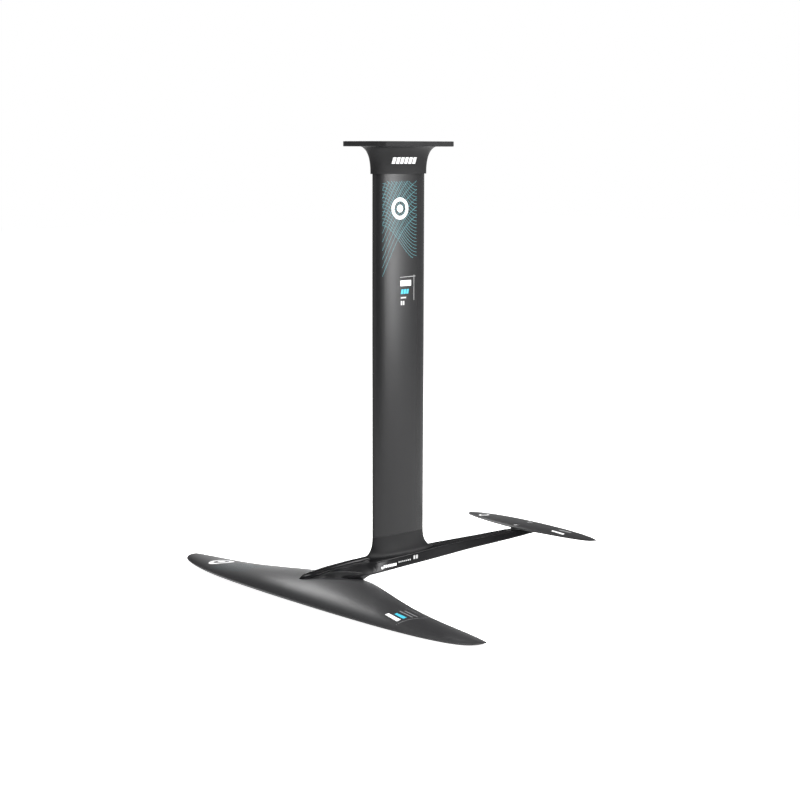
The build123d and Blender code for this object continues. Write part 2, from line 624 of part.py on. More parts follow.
def build_nodes():
    nodes = {}
    nodes["top_plate"] = make_top_plate()
    nodes["mast"] = make_mast()
    nodes["mast_head_seal"] = make_seal(MAST_TOP, False)
    nodes["mast_foot_seal"] = make_seal(FOOT_TOP, True)
    nodes["mast_foot"] = make_mast_foot()
    long_insert = insert_ring(INSERT_R, SCREW_R + THREAD_GAP, INSERT_LENGTH)
    nodes["mast_head_inserts"] = group([Pos(x, 0, MAST_TOP) * long_insert for x in MAST_SCREW_X])
    nodes["mast_foot_inserts"] = group([Pos(x, 0, MAST_BOTTOM + INSERT_LENGTH) * long_insert for x in MAST_SCREW_X])
    big_screw = (SCREW_R, SCREW_HEAD_R, SCREW_HEAD_DEPTH, SCREW_SOCKET_R, SCREW_SOCKET_DEPTH)
    plate_screw = countersunk_screw(PLATE_SCREW_LENGTH, *big_screw)
    nodes["plate_screws"] = group([Pos(x, 0, -HEAD_RECESS) * plate_screw for x in MAST_SCREW_X])
    mast_screw = Rot(180, 0, 0) * countersunk_screw(MAST_SCREW_LENGTH, *big_screw)
    nodes["fuselage_mast_screws"] = group(
        [Pos(x, 0, underside_z(x) + HEAD_RECESS) * mast_screw for x in MAST_SCREW_X])
    nodes["fuselage"] = make_fuselage()
    top_skin, bottom_skin, core, saddle = make_wing_parts()
    nodes["front_wing_top_skin"] = top_skin
    nodes["front_wing_bottom_skin"] = bottom_skin
    nodes["front_wing_core"] = core
    nodes["front_wing_saddle"] = saddle
    wing_screw = Rot(180, 0, 0) * countersunk_screw(WING_SCREW_LENGTH, *big_screw)
    nodes["front_wing_screws"] = group([Pos(x, 0, wing_head_z(x)) * wing_screw for x in WING_SCREW_X])
    nodes["front_wing_screw_cups"] = group([make_wing_screw_cup(x) for x in WING_SCREW_X])
    wing_insert = insert_ring(INSERT_R, SCREW_R + THREAD_GAP, WING_INSERT_LENGTH)
    tongue_z = FUSELAGE_TOP - TONGUE_FLOOR
    nodes["fuselage_front_inserts"] = group(
        [Pos(x, 0, tongue_z + WING_INSERT_LENGTH) * wing_insert for x in WING_SCREW_X])
    stab_top, stab_bottom, stab_core = make_stab_parts()
    nodes["stabiliser_top_skin"] = stab_top
    nodes["stabiliser_bottom_skin"] = stab_bottom
    nodes["stabiliser_core"] = stab_core
    nodes["stabiliser_shim"] = make_shim()
    small_screw = countersunk_screw(SMALL_SCREW_LENGTH, SMALL_SCREW_R, SMALL_HEAD_R, SMALL_HEAD_DEPTH,
                                    SMALL_SOCKET_R, SMALL_SOCKET_DEPTH)
    nodes["stabiliser_screws"] = group([Pos(x, 0, stab_head_z()) * small_screw for x in STAB_SCREW_X])
    nodes["stabiliser_screw_cups"] = group([make_stab_screw_cup(x) for x in STAB_SCREW_X])
    small_insert = insert_ring(SMALL_INSERT_R, SMALL_SCREW_R + THREAD_GAP, SMALL_INSERT_LENGTH)
    nodes["fuselage_rear_inserts"] = group(
        [Pos(x, 0, FUSELAGE_TOP - STAB_PAD_DEPTH) * small_insert for x in STAB_SCREW_X])
    return nodes


os.makedirs("parts", exist_ok=True)
for name, shape in build_nodes().items():
    export_step(shape, f"parts/{name}.step")
    box = shape.bounding_box()
    print(f"{name:24s} {len(shape.solids())} solid(s) {shape.volume:10.0f} mm3  "
          f"x {box.min.X:.1f}..{box.max.X:.1f}  y {box.min.Y:.1f}..{box.max.Y:.1f}  z {box.min.Z:.1f}..{box.max.Z:.1f}")
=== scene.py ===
# %% [markdown]
# # A board hydrofoil
# This is the wing that carries a board clear of the water. A flat plate bolts under the board, an aluminium
# mast hangs from it, and a slim fuselage at the mast's foot holds a large front wing and a small stabiliser.
# The CAD frame already holds every part at its real size. Here we build the finer shapes and the finishes
# around it.

# %% Load the frame
import math
import bpy
import bmesh
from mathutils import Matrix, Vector
from mathutils.bvhtree import BVHTree


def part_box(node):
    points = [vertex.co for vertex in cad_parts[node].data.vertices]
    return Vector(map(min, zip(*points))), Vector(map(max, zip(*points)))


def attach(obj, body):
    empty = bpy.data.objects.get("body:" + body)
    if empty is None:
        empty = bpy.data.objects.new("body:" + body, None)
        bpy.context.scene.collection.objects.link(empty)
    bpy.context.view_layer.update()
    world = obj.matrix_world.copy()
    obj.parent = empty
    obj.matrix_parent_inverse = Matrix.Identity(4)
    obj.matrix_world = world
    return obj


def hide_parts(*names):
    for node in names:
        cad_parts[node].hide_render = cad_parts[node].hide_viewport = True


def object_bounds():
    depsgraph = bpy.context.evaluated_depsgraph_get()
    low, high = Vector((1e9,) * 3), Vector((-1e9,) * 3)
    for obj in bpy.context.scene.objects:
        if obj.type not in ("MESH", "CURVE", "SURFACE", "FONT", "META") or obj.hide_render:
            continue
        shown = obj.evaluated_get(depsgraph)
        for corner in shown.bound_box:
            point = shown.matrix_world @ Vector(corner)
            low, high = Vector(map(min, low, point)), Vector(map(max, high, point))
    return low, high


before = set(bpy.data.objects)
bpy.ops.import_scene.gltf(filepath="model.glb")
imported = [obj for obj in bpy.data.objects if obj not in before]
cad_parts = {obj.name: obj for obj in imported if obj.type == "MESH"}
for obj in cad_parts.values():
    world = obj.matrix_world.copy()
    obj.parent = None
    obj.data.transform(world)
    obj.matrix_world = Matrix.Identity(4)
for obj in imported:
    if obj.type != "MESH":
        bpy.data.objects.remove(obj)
cad_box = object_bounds()
print("CAD box, metres:", [[round(v, 4) for v in corner] for corner in cad_box])

# %% [markdown]
# ## Camera
# A product view is taken with a long lens from a few metres away, so that near and far parts keep their
# proportions. We give the camera a place, a compass direction and a small downward pitch, and build its axes
# from them. That is easier to reason about than three Euler angles.

# %% Camera axes from a compass direction and a pitch
MM = 0.001
CAMERA_PLACE = Vector((2.26646, 2.63600, -0.01171))
CAMERA_COMPASS = 0.85957       # radians from +X to the side the camera stands on
CAMERA_PITCH = math.radians(8.172)
CAMERA_ROLL = 0.0024
CAMERA_LENS = 79.186           # on a 36 mm sensor


def camera_axes(compass, pitch, roll):
    level = Vector((-math.cos(compass), -math.sin(compass), 0))
    side = Vector((-math.sin(compass), math.cos(compass), 0))
    view = level * math.cos(pitch) - Vector((0, 0, math.sin(pitch)))
    up = Vector((0, 0, math.cos(pitch))) + level * math.sin(pitch)
    right = side * math.cos(roll) + up * math.sin(roll)
    return right, up * math.cos(roll) - side * math.sin(roll), view


def add_camera():
    data = bpy.data.cameras.new("studio_camera")
    data.lens = CAMERA_LENS
    data.sensor_width = 36
    camera = bpy.data.objects.new("studio_camera", data)
    bpy.context.scene.collection.objects.link(camera)
    right, up, view = camera_axes(CAMERA_COMPASS, CAMERA_PITCH, CAMERA_ROLL)
    matrix = camera.matrix_world.copy()
    for row in range(3):
        matrix[row][0], matrix[row][1], matrix[row][2] = right[row], up[row], -view[row]
        matrix[row][3] = CAMERA_PLACE[row]
    camera.matrix_world = matrix
    bpy.context.scene.camera = camera


add_camera()
print("camera stands", round(CAMERA_PLACE.length, 2), "m from the board face")

# %% [markdown]
# ## Studio
# The foil is matte black, and black shows only what it mirrors. So the studio is made of large soft shapes: a
# pale glowing floor, a white wall that reaches just over the horizon, a dark ceiling, and a few soft boxes.
# Each box is placed where its mirror image falls on the surface that it should draw.

# %% Pale floor
FLOOR_Z = cad_box[0][2] - 0.4 * MM


def shader(name):
    """A new material and its main shader node."""
    material = bpy.data.materials.new(name)
    material.use_nodes = True
    return material, material.node_tree.nodes["Principled BSDF"]


def panel(name, corners, material):
    mesh = bpy.data.meshes.new(name)
    mesh.from_pydata(corners, [], [(0, 1, 2, 3)])
    card = bpy.data.objects.new(name, mesh)
    bpy.context.scene.collection.objects.link(card)
    mesh.materials.append(material)
    return card


FLOOR_GLOW = 0.96


def add_floor():
    size = 14.0
    material, bsdf = shader("pale_floor")
    bsdf.inputs["Base Color"].default_value = (0.85, 0.85, 0.85, 1)
    bsdf.inputs["Roughness"].default_value = 0.9
    bsdf.inputs["Specular IOR Level"].default_value = 0.0
    bsdf.inputs["Emission Color"].default_value = (1, 1, 1, 1)
    bsdf.inputs["Emission Strength"].default_value = FLOOR_GLOW
    corners = [(-size, -size, FLOOR_Z), (size, -size, FLOOR_Z), (size, size, FLOOR_Z), (-size, size, FLOOR_Z)]
    panel("studio_floor", corners, material)


add_floor()
print("floor lies at z =", round(FLOOR_Z, 4))

# %% White wall to just above the horizon, dark ceiling
WALL_TOP = math.sin(math.radians(6.0))
WALL_FADE = 0.02               # the share of height over which the white wall fades into the ceiling
CEILING = 0.06


def add_world():
    world = bpy.data.worlds.new("studio")
    bpy.context.scene.world = world
    world.use_nodes = True
    tree = world.node_tree
    background = tree.nodes["Background"]
    background.inputs["Strength"].default_value = 1.0
    place = tree.nodes.new("ShaderNodeTexCoord")
    split = tree.nodes.new("ShaderNodeSeparateXYZ")
    ramp = tree.nodes.new("ShaderNodeMapRange")
    ramp.inputs["From Min"].default_value = WALL_TOP
    ramp.inputs["From Max"].default_value = WALL_TOP + WALL_FADE
    ramp.inputs["To Min"].default_value = 1.0
    ramp.inputs["To Max"].default_value = CEILING
    tree.links.new(place.outputs["Generated"], split.inputs["Vector"])
    tree.links.new(split.outputs["Z"], ramp.inputs["Value"])
    tree.links.new(ramp.outputs["Result"], background.inputs["Color"])


add_world()
print("world: white to", round(WALL_TOP, 3), "above the horizon, ceiling", CEILING)

# %% Soft boxes and one black flag
def compass_place(compass, distance, height):
    angle = math.radians(compass)
    return Vector((distance * math.cos(angle), distance * math.sin(angle), height))


def add_softbox(name, compass, distance, height, width, tall, power, aim_z=-0.45):
    """A rectangular soft light at a compass direction round the mast, aimed at the mast."""
    data = bpy.data.lights.new(name, "AREA")
    data.shape = "RECTANGLE"
    data.size = width
    data.size_y = tall
    data.energy = power
    light = bpy.data.objects.new(name, data)
    bpy.context.scene.collection.objects.link(light)
    light.location = compass_place(compass, distance, height)
    aim = Vector((0, 0, aim_z)) - light.location
    light.rotation_euler = aim.to_track_quat("-Z", "Y").to_euler()


def add_flag(name, compass, distance, width, low, high):
    """A black card that the lens doesn't see, which keeps the white wall out of a mirror image."""
    material, bsdf = shader("black_flag")
    bsdf.inputs["Base Color"].default_value = (0.01, 0.01, 0.01, 1)
    bsdf.inputs["Roughness"].default_value = 0.9
    middle = compass_place(compass, distance, 0)
    side = compass_place(compass + 90, width / 2, 0)
    up = Vector((0, 0, 1))
    card = panel(name, [middle - side + up * low, middle + side + up * low, middle + side + up * high,
                        middle - side + up * high], material)
    card.visible_camera = False


add_softbox("strip_softbox", 125.6, 3.0, 0.05, 0.22, 1.5, 46)
add_softbox("shoulder_softbox", 165, 1.6, 1.1, 0.9, 0.7, 34, -0.8)
add_softbox("wing_softbox", 239, 3.0, 0.97, 0.8, 0.5, 20, -0.8)
add_softbox("overhead_softbox", 20, 0.3, 0.95, 0.9, 0.9, 14, -0.8)
add_softbox("nose_softbox", 95, 1.4, 1.2, 0.6, 0.5, 40, -0.8)
add_softbox("front_softbox", 8, 2.6, 1.3, 1.8, 0.8, 58, -0.8)
add_flag("mast_nose_flag", 103, 2.4, 0.9, FLOOR_Z, 0.6)
bpy.context.scene.view_settings.view_transform = "Standard"
print("lights:", [light.name for light in bpy.data.lights])

# %% [markdown]
# ## Finishes
# Every dark surface here has a different skin: the mast is bead-blasted and anodised, with the faint drawing
# lines of an extrusion. The plate, collar and foot are castings under a satin coat. The wings are carbon
# under a matte lacquer. Each finish is a small node tree: noise for the grain, a second and larger noise for
# slow changes of tone, and a bump that catches the light.

# %% A helper that grows one finish from a few numbers
def add_node(tree, kind, **settings):
    node = tree.nodes.new(kind)
    for key, value in settings.items():
        setattr(node, key, value)
    return node


def stretched_noise(tree, scale, stretch, detail=3.0):
    """Noise in object space; stretch divides the scale along each axis."""
    place = add_node(tree, "ShaderNodeTexCoord")
    mapping = add_node(tree, "ShaderNodeMapping")
    mapping.inputs["Scale"].default_value = [1 / s for s in stretch]
    noise = add_node(tree, "ShaderNodeTexNoise")
    noise.inputs["Scale"].default_value = scale
    noise.inputs["Detail"].default_value = detail
    tree.links.new(place.outputs["Object"], mapping.inputs["Vector"])
    tree.links.new(mapping.outputs["Vector"], noise.inputs["Vector"])
    return noise.outputs["Fac"]


def spread(tree, value, low, high):
    """Maps a noise's middle range onto low..high."""
    node = add_node(tree, "ShaderNodeMapRange")
    node.inputs["From Min"].default_value = 0.3
    node.inputs["From Max"].default_value = 0.7
    node.inputs["To Min"].default_value = low
    node.inputs["To Max"].default_value = high
    tree.links.new(value, node.inputs["Value"])
    return node.outputs["Result"]


def tone(tree, value, dark, light):
    ramp = add_node(tree, "ShaderNodeValToRGB")
    ramp.color_ramp.elements[0].position = 0.35
    ramp.color_ramp.elements[1].position = 0.65
    ramp.color_ramp.elements[0].color = (*dark, 1)
    ramp.color_ramp.elements[1].color = (*light, 1)
    tree.links.new(value, ramp.inputs["Fac"])
    return ramp.outputs["Color"]


GRAIN_DEPTH = 0.05 * MM


def finish(name, dark, light, roughness, grain, bump, stretch=(1, 1, 1), metallic=0.0, tone_scale=18.0,
           specular=0.5):
    material, bsdf = shader(name)
    tree = material.node_tree
    fine = stretched_noise(tree, grain, stretch)
    slow = stretched_noise(tree, tone_scale, stretch, 2.0)
    tree.links.new(tone(tree, slow, dark, light), bsdf.inputs["Base Color"])
    tree.links.new(spread(tree, fine, *roughness), bsdf.inputs["Roughness"])
    relief = add_node(tree, "ShaderNodeBump")
    relief.inputs["Strength"].default_value = bump
    relief.inputs["Distance"].default_value = GRAIN_DEPTH
    tree.links.new(fine, relief.inputs["Height"])
    tree.links.new(relief.outputs["Normal"], bsdf.inputs["Normal"])
    bsdf.inputs["Metallic"].default_value = metallic
    bsdf.inputs["Specular IOR Level"].default_value = specular
    return material


# %% The finishes of this foil
MAST_BLACK = finish("anodised_mast", (0.007, 0.007, 0.0075), (0.009, 0.009, 0.0095), (0.22, 0.27), 3000,
                    0.06, (1, 1, 40), specular=0.2)
FUSELAGE_BLACK = finish("anodised_fuselage", (0.004, 0.004, 0.0045), (0.006, 0.006, 0.0065), (0.16, 0.2),
                        4000, 0.04, (8, 1, 1), specular=0.09)
CAST_BLACK = finish("satin_casting", (0.005, 0.005, 0.0055), (0.008, 0.008, 0.0085), (0.44, 0.52), 2200, 0.15,
                    specular=0.15)
CARBON_BLACK = finish("matte_carbon", (0.019, 0.019, 0.02), (0.024, 0.024, 0.025), (0.34, 0.4), 2500, 0.06,
                      (1, 12, 1), specular=0.2)
MOULDING_BLACK = finish("satin_moulding", (0.004, 0.004, 0.0045), (0.006, 0.006, 0.0065), (0.3, 0.36), 2500,
                        0.06, specular=0.2)
STAINLESS = finish("stainless", (0.5, 0.5, 0.5), (0.62, 0.62, 0.62), (0.25, 0.4), 1500, 0.3, metallic=1.0)
SEAL_RUBBER = finish("seal_rubber", (0.015, 0.015, 0.015), (0.025, 0.025, 0.025), (0.7, 0.85), 800, 0.5)
SHIM_NYLON = finish("shim_nylon", (0.02, 0.02, 0.021), (0.03, 0.03, 0.031), (0.5, 0.6), 900, 0.3)
CORE_FOAM = finish("core_foam", (0.72, 0.66, 0.52), (0.84, 0.8, 0.68), (0.8, 0.95), 500, 1.0)
print("finishes made:", len(bpy.data.materials))

# %% Give each CAD node its finish
NODE_FINISH = {
    "top_plate": CAST_BLACK, "mast_foot": CAST_BLACK, "mast": MAST_BLACK, "fuselage": FUSELAGE_BLACK,
    "front_wing_saddle": MOULDING_BLACK, "front_wing_core": CORE_FOAM, "stabiliser_core": CORE_FOAM,
    "stabiliser_shim": SHIM_NYLON,
    "mast_head_seal": SEAL_RUBBER, "mast_foot_seal": SEAL_RUBBER,
}
for node_name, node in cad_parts.items():
    node.data.materials.clear()
    if "skin" in node_name:
        node.data.materials.append(CARBON_BLACK)
    else:
        node.data.materials.append(NODE_FINISH.get(node_name, STAINLESS))
print("nodes dressed:", len(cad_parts))

# %% [markdown]
# ## Lifting surfaces
# A wing is a stack of aerofoil sections that slide, shrink and droop from root to tip. The CAD skins are
# right in size but plain, so we rebuild them from the same section formula with many more, evenly smooth
# quads. Writing the planform as a formula keeps the edges fair: no hand-placed point can dent them.

# %% The section: half thickness and camber behind the leading edge
def half_thickness(share, chord, ratio, edge):
    s = share
    shape = 0.2969 * math.sqrt(s) - 0.126 * s - 0.3516 * s ** 2 + 0.2843 * s ** 3 - 0.1036 * s ** 4
    return 5 * ratio * chord * shape + edge / 2 * s


def camber_line(share, chord, camber):
    peak = 0.4
    if share < peak:
        return camber * chord / peak ** 2 * (2 * peak * share - share ** 2)
    return camber * chord / (1 - peak) ** 2 * (1 - 2 * peak + 2 * peak * share - share ** 2)


# %% The planforms, as functions of the share of the half span
FUSELAGE_TOP = -0.820


def front_wing_plan(u):
    swell = 0.0831 * math.exp(-(u / 0.446) ** 2)
    trailing_x = 0.1941 - 0.0751 * u ** 2 + 0.0458 * u ** 4 + 0.0166 * u ** 8 - swell
    chord = 0.12147 * (1 - u ** 1.884) ** 0.405 + swell
    trailing_z = FUSELAGE_TOP - 0.0357 - 0.0508 * u ** 2 + 0.0292 * u ** 4
    return trailing_x, chord, trailing_z, 0.0026 - 0.0193 * u ** 2


def stabiliser_plan(u):
    trailing_x = -0.3958 - 0.0039 * u ** 2 + 0.0104 * u ** 4 + 0.0075 * u ** 8
    chord = 0.0743 * (1 - u ** 1.624) ** 0.471
    trailing_z = FUSELAGE_TOP + 0.0056 - 0.0074 * u ** 2 + 0.0018 * u ** 4
    return trailing_x, chord, trailing_z, -0.013


class LiftingSurface:
    def __init__(self, plan, half_span, ratio, camber, edge):
        self.plan = plan
        self.half_span = half_span
        self.ratio = ratio
        self.camber = camber
        self.edge = edge

    def point(self, y, share, side):
        """A point on the upper (+1) or lower (-1) skin."""
        trailing_x, chord, trailing_z, pitch = self.plan(abs(y) / self.half_span)
        thick = half_thickness(share, chord, self.ratio, min(self.edge, chord * 0.02))
        back = chord * (1 - share)
        z = trailing_z + camber_line(share, chord, self.camber) + side * thick + back * math.tan(pitch)
        return Vector((trailing_x + back, y, z))

    def height(self, x, y, side=1):
        """The skin's height above a place in plan."""
        trailing_x, chord, _, _ = self.plan(min(0.999, abs(y) / self.half_span))
        share = min(1.0, max(0.0, 1 - (x - trailing_x) / chord))
        return self.point(y, share, side).z

    def ring(self, y, steps):
        """One closed section: upper skin from trailing edge to nose, then back along the lower skin."""
        shares = [(1 + math.cos(math.pi * i / steps)) / 2 for i in range(steps + 1)]
        upper = [self.point(y, s, 1) for s in shares]
        lower = [self.point(y, s, -1) for s in reversed(shares[:-1])]
        return upper + lower


WING_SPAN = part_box("front_wing_top_skin")[1].y / 0.999
STAB_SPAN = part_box("stabiliser_top_skin")[1].y / 0.999
WING = LiftingSurface(front_wing_plan, WING_SPAN, 0.128, 0.026, 0.8 * MM)
STAB = LiftingSurface(stabiliser_plan, STAB_SPAN, 0.09, 0.0, 0.6 * MM)
print("half spans, mm:", round(WING_SPAN * 1000, 1), round(STAB_SPAN * 1000, 1))


# %% Skin a stack of rings with quads
def new_piece(name, mesh, material):
    """Turns a mesh into a finished piece that rides on the one rigid body."""
    piece = bpy.data.objects.new(name, mesh)
    bpy.context.scene.collection.objects.link(piece)
    mesh.materials.append(material)
    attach(piece, "root")
    return piece


def skin_rings(name, rings, crease=40):
    """Closed mesh through rings of equal length, with a flat cap at each end."""
    count = len(rings[0])
    points = [p for ring in rings for p in ring]
    faces = []
    for r in range(len(rings) - 1):
        for i in range(count):
            j = (i + 1) % count
            faces.append((r * count + i, r * count + j, (r + 1) * count + j, (r + 1) * count + i))
    faces.append(tuple(reversed(range(count))))
    faces.append(tuple((len(rings) - 1) * count + i for i in range(count)))
    mesh = bpy.data.meshes.new(name)
    mesh.from_pydata(points, [], faces)
    tidy = bmesh.new()
    tidy.from_mesh(mesh)
    bmesh.ops.recalc_face_normals(tidy, faces=tidy.faces)
    tidy.to_mesh(mesh)
    tidy.free()
    mesh.shade_smooth()
    mesh.set_sharp_from_angle(angle=math.radians(crease))
    return mesh


def span_stations(half_span, count):
    """Stations from tip to tip, closer together where the tip curves in."""
    shares = [0.999 * math.sin(math.pi / 2 * i / count) for i in range(-count, count + 1)]
    return [s * half_span for s in shares]


# %% [markdown]
# Screw cups sit in pockets in the skins. A boolean cut with a short many-sided plug makes each pocket. The
# plugs take their places from the CAD cups, so skin and cup agree to a tenth of a millimetre.

# %% Cut round pockets for the screw cups
def loose_parts(node_name):
    """Boxes of a node's separate solids, found by the gaps between them along X."""
    xs = sorted({round(v.co.x, 4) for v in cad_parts[node_name].data.vertices})
    groups = [[xs[0]]]
    for x in xs[1:]:
        if x - groups[-1][-1] > 5 * MM:
            groups.append([x])
        else:
            groups[-1].append(x)
    boxes = []
    for group in groups:
        inside = [v.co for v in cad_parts[node_name].data.vertices
                  if group[0] - MM < v.co.x < group[-1] + MM]
        low = Vector([min(p[i] for p in inside) for i in range(3)])
        high = Vector([max(p[i] for p in inside) for i in range(3)])
        boxes.append((low, high))
    return boxes


def cut_pockets(mesh_name, mesh, boxes, gap=0.1 * MM, below=False):
    """Returns the mesh with a round pocket for each box, open upwards or, with below, downwards."""
    holder = bpy.data.objects.new(mesh_name + "_blank", mesh)
    bpy.context.scene.collection.objects.link(holder)
    cutters = []
    for low, high in boxes:
        radius = (high.y - low.y) / 2 + gap
        z_low = low.z - 0.02 if below else low.z - gap
        z_high = high.z + gap if below else high.z + 0.02
        centre_x = (low.x + high.x) / 2
        rings = [[Vector((centre_x + radius * math.cos(a), radius * math.sin(a), z))
                  for a in [2 * math.pi * k / 64 for k in range(64)]] for z in (z_low, z_high)]
        cutter = bpy.data.objects.new("pocket_plug", skin_rings("pocket_plug", rings))
        bpy.context.scene.collection.objects.link(cutter)
        modifier = holder.modifiers.new("pocket", "BOOLEAN")
        modifier.object = cutter
        modifier.operation = "DIFFERENCE"
        modifier.solver = "EXACT"
        cutters.append(cutter)
    bpy.context.view_layer.update()
    graph = bpy.context.evaluated_depsgraph_get()
    result = bpy.data.meshes.new_from_object(holder.evaluated_get(graph))
    result.name = mesh_name
    for used in cutters + [holder]:
        bpy.data.objects.remove(used)
    result.materials.clear()
    result.set_sharp_from_angle(angle=math.radians(40))
    return result


# %% Build both wings
def build_surface(name, surface, count, steps, cups, below):
    rings = [surface.ring(y, steps) for y in span_stations(surface.half_span, count)]
    mesh = cut_pockets(name, skin_rings(name, rings), loose_parts(cups), below=below)
    return new_piece(name, mesh, CARBON_BLACK)


front_wing = build_surface("front_wing_shell", WING, 110, 72, "front_wing_screw_cups", True)
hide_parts("front_wing_top_skin", "front_wing_bottom_skin")
stabiliser = build_surface("stabiliser_shell", STAB, 70, 48, "stabiliser_screw_cups", False)
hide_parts("stabiliser_top_skin", "stabiliser_bottom_skin")
for piece in (front_wing, stabiliser):
    print(piece.name, len(piece.data.polygons), "faces")

# %% [markdown]
# ## Root fairing
# Where the fuselage's tongue sinks into the wing, the moulding climbs both of its sides in a rounded rim and
# falls to the wing in a short, steep flank. We find the fuselage's leaning side with rays, set the rim
# against it, and sweep the flank down to the wing's skin. The rim is highest in its middle and sinks to both
# ends.

# %% Read the fuselage's sides with rays
def tree_of(*objects):
    """One search tree over the meshes of several objects."""
    points = []
    faces = []
    for thing in objects:
        start = len(points)
        points += [v.co.copy() for v in thing.data.vertices]
        faces += [[start + i for i in p.vertices] for p in thing.data.polygons]
    return BVHTree.FromPolygons(points, faces)


FUSELAGE_TREE = tree_of(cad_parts["fuselage"])


def side_y(x, z):
    """The fuselage's half-width at a place along it and a height."""
    hit = FUSELAGE_TREE.ray_cast(Vector((x, 0.2, z)), Vector((0, -1, 0)))[0]
    return hit.y if hit else 0.0


def smooth_table(x, table):
    """A smooth curve through (x, value) pairs: straight steps, blurred over a centimetre."""
    total = 0.0
    for k in range(-4, 5):
        place = x + k * 1.2 * MM
        value = table[0][1] if place <= table[0][0] else table[-1][1]
        for (xa, va), (xb, vb) in zip(table, table[1:]):
            if xa < place <= xb:
                value = va + (vb - va) * (place - xa) / (xb - xa)
        total += value
    return total / 9


# %% Rim and hollow flank on one side
RIM_DROP = [(0.098, 0.0262), (0.106, 0.0238), (0.121, 0.0192), (0.145, 0.0146), (0.169, 0.0111),
            (0.185, 0.0102), (0.200, 0.0118), (0.214, 0.0146), (0.228, 0.0172), (0.245, 0.0184)]
FAIRING_REAR_X = 0.1145
FAIRING_FRONT_X = 0.243
RIM_WIDTH = 2.6 * MM
FLANK_REACH = 1.6 * MM


def fairing_ring(x, side):
    rim = FUSELAGE_TOP - smooth_table(x, RIM_DROP)
    wall = side_y(x, rim) + 0.02 * MM
    grown = min(1.0, (x - FAIRING_REAR_X) / (14 * MM))
    grown = grown * grown * (3 - 2 * grown)
    width = RIM_WIDTH * (0.25 + 0.75 * grown)
    lip = wall + width
    ground = WING.height(x, lip + 2 * MM)
    tall = max(0.3 * MM, rim - ground)
    roll = min(1.6 * MM, tall * 0.3)
    reach = FLANK_REACH * min(1.0, tall / (10 * MM)) * grown + 0.3 * MM
    profile = [(wall - 1.5 * MM, ground - 4 * MM), (wall - 0.4 * MM, rim - 0.9 * MM)]
    for k in range(9):
        turn = math.pi / 2 * k / 8
        profile.append((wall + width * math.sin(turn), rim - roll * (1 - math.cos(turn))))
    for k in range(1, 19):
        turn = math.pi / 2 * k / 18
        y = lip + reach * (1 - math.cos(turn))
        z = WING.height(x, y) + (tall - roll) * (1 - turn / (math.pi / 2)) - 0.03 * MM
        profile.append((y, z))
    profile.append((lip + reach, WING.height(x, lip + reach) - 1.5 * MM))
    return [Vector((x, side * y, z)) for y, z in profile]


def build_fairing(name, side):
    length = FAIRING_FRONT_X - FAIRING_REAR_X
    stations = [FAIRING_REAR_X + length * i / 96 for i in range(97)]
    mesh = skin_rings(name, [fairing_ring(x, side) for x in stations], 50)
    return new_piece(name, mesh, MOULDING_BLACK)


port_fairing = build_fairing("root_fairing_port", 1)
starboard_fairing = build_fairing("root_fairing_starboard", -1)
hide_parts("front_wing_saddle")
print("root fairing runs from", round(FAIRING_REAR_X * 1000), "to", round(FAIRING_FRONT_X * 1000), "mm")

# %% [markdown]
# Under the fuselage the same moulding closes the step down to the wing's trailing edge. It is a stack of
# level outlines with rounded rear corners: each one lower starts further forward, in a hollow curve.

# %% Heel below the fuselage
HEEL_TOP_DROP = 26.0 * MM
HEEL_LOW_DROP = 35.6 * MM
HEEL_FRONT_X = 0.150
HEEL_CORNER_R = 3.5 * MM


def heel_ring(share):
    """A level outline of the heel; share is 0 at the fuselage's underside and 1 at the trailing edge."""
    z = FUSELAGE_TOP - HEEL_TOP_DROP - (HEEL_LOW_DROP - HEEL_TOP_DROP) * share
    rear = 0.083 + 0.030 * share ** 0.55
    half = (31.6 - 2.6 * share) * MM
    corner = HEEL_CORNER_R
    outline = [Vector((HEEL_FRONT_X, -half, z))]
    for centre_y, degrees in ((-half + corner, range(-90, 1, 10)), (half - corner, range(0, 91, 10))):
        for turn in [math.radians(d) for d in degrees]:
            x = rear + corner - corner * math.cos(turn)
            outline.append(Vector((x, centre_y + corner * math.sin(turn), z)))
    outline.append(Vector((HEEL_FRONT_X, half, z)))
    return outline


heel_mesh = skin_rings("root_heel", [heel_ring(i / 24) for i in range(25)], 50)
heel = new_piece("root_heel", heel_mesh, MOULDING_BLACK)
print("heel made with", len(heel.data.polygons), "faces")

# %% [markdown]
# ## Printed marks
# The foil carries white, cyan and grey prints and a fine teal lattice. We make each as a film a tenth of a
# millimetre thick, laid on the surface by rays, so that it follows every curve and needs no image. All of
# them are plain shapes of our own.

# %% Inks
def ink(name, colour, roughness=(0.4, 0.5)):
    dark = tuple(c * 0.94 for c in colour)
    light = tuple(min(1.0, c * 1.06) for c in colour)
    return finish(name, dark, light, roughness, 1500, 0.05, specular=0.3, tone_scale=60)


WHITE_INK = ink("white_ink", (0.86, 0.86, 0.86))
GREY_INK = ink("grey_ink", (0.22, 0.22, 0.225))
PALE_GREY_INK = ink("pale_grey_ink", (0.45, 0.45, 0.45))
CYAN_INK = ink("cyan_ink", (0.05, 0.42, 0.55))
TEAL_INK = ink("teal_ink", (0.06, 0.24, 0.27))
DULL_TEAL_INK = ink("dull_teal_ink", (0.03, 0.08, 0.09))
print("materials with the inks:", len(bpy.data.materials))

# %% Film laid on a surface by rays
FILM_LIFT = 0.06 * MM
FILM_SINK = 0.04 * MM


